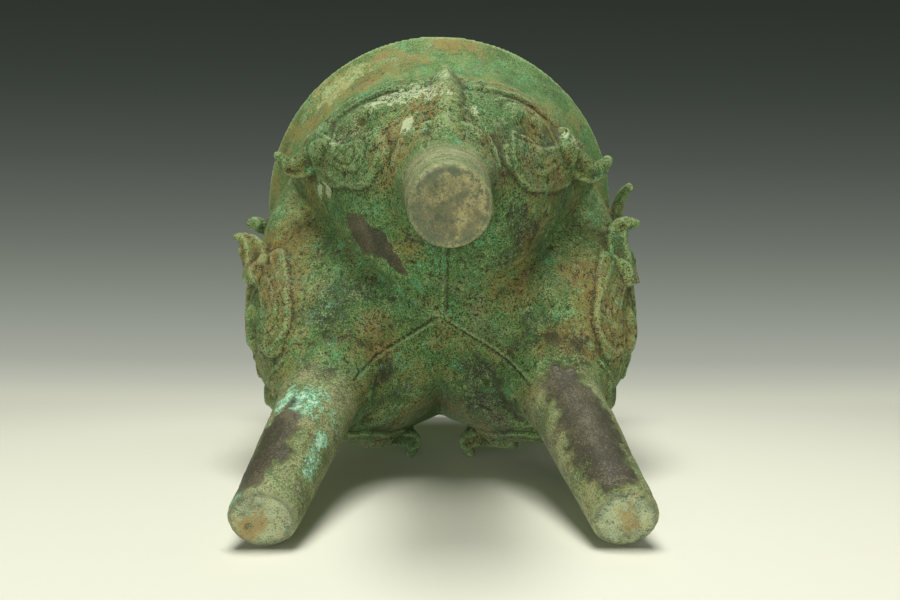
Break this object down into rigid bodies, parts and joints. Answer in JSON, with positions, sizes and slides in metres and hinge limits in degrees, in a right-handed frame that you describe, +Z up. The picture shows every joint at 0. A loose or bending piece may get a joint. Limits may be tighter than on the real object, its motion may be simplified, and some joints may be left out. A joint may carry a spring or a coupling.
{
  "type": "bronze li-ding tripod vessel",
  "caption": "Cast bronze tripod vessel with bag-shaped lobes, solid tapered legs, animal masks in relief and a flared round mouth, under a green patina.",
  "frame": {"origin": "on the vessel's axis at the level of the feet's undersides, the centre of the box's bottom", "axes": "+Z up from the feet to the mouth; -Y points at the middle of one lobe, its mask and its leg"},
  "size_m": [0.226, 0.226, 0.25],
  "materials": {
    "patinated_bronze": "rough green and ochre patina over cast bronze"
  },
  "bodies": {
    "root": {"vessel": "patinated_bronze"}
  },
  "joints": []
}
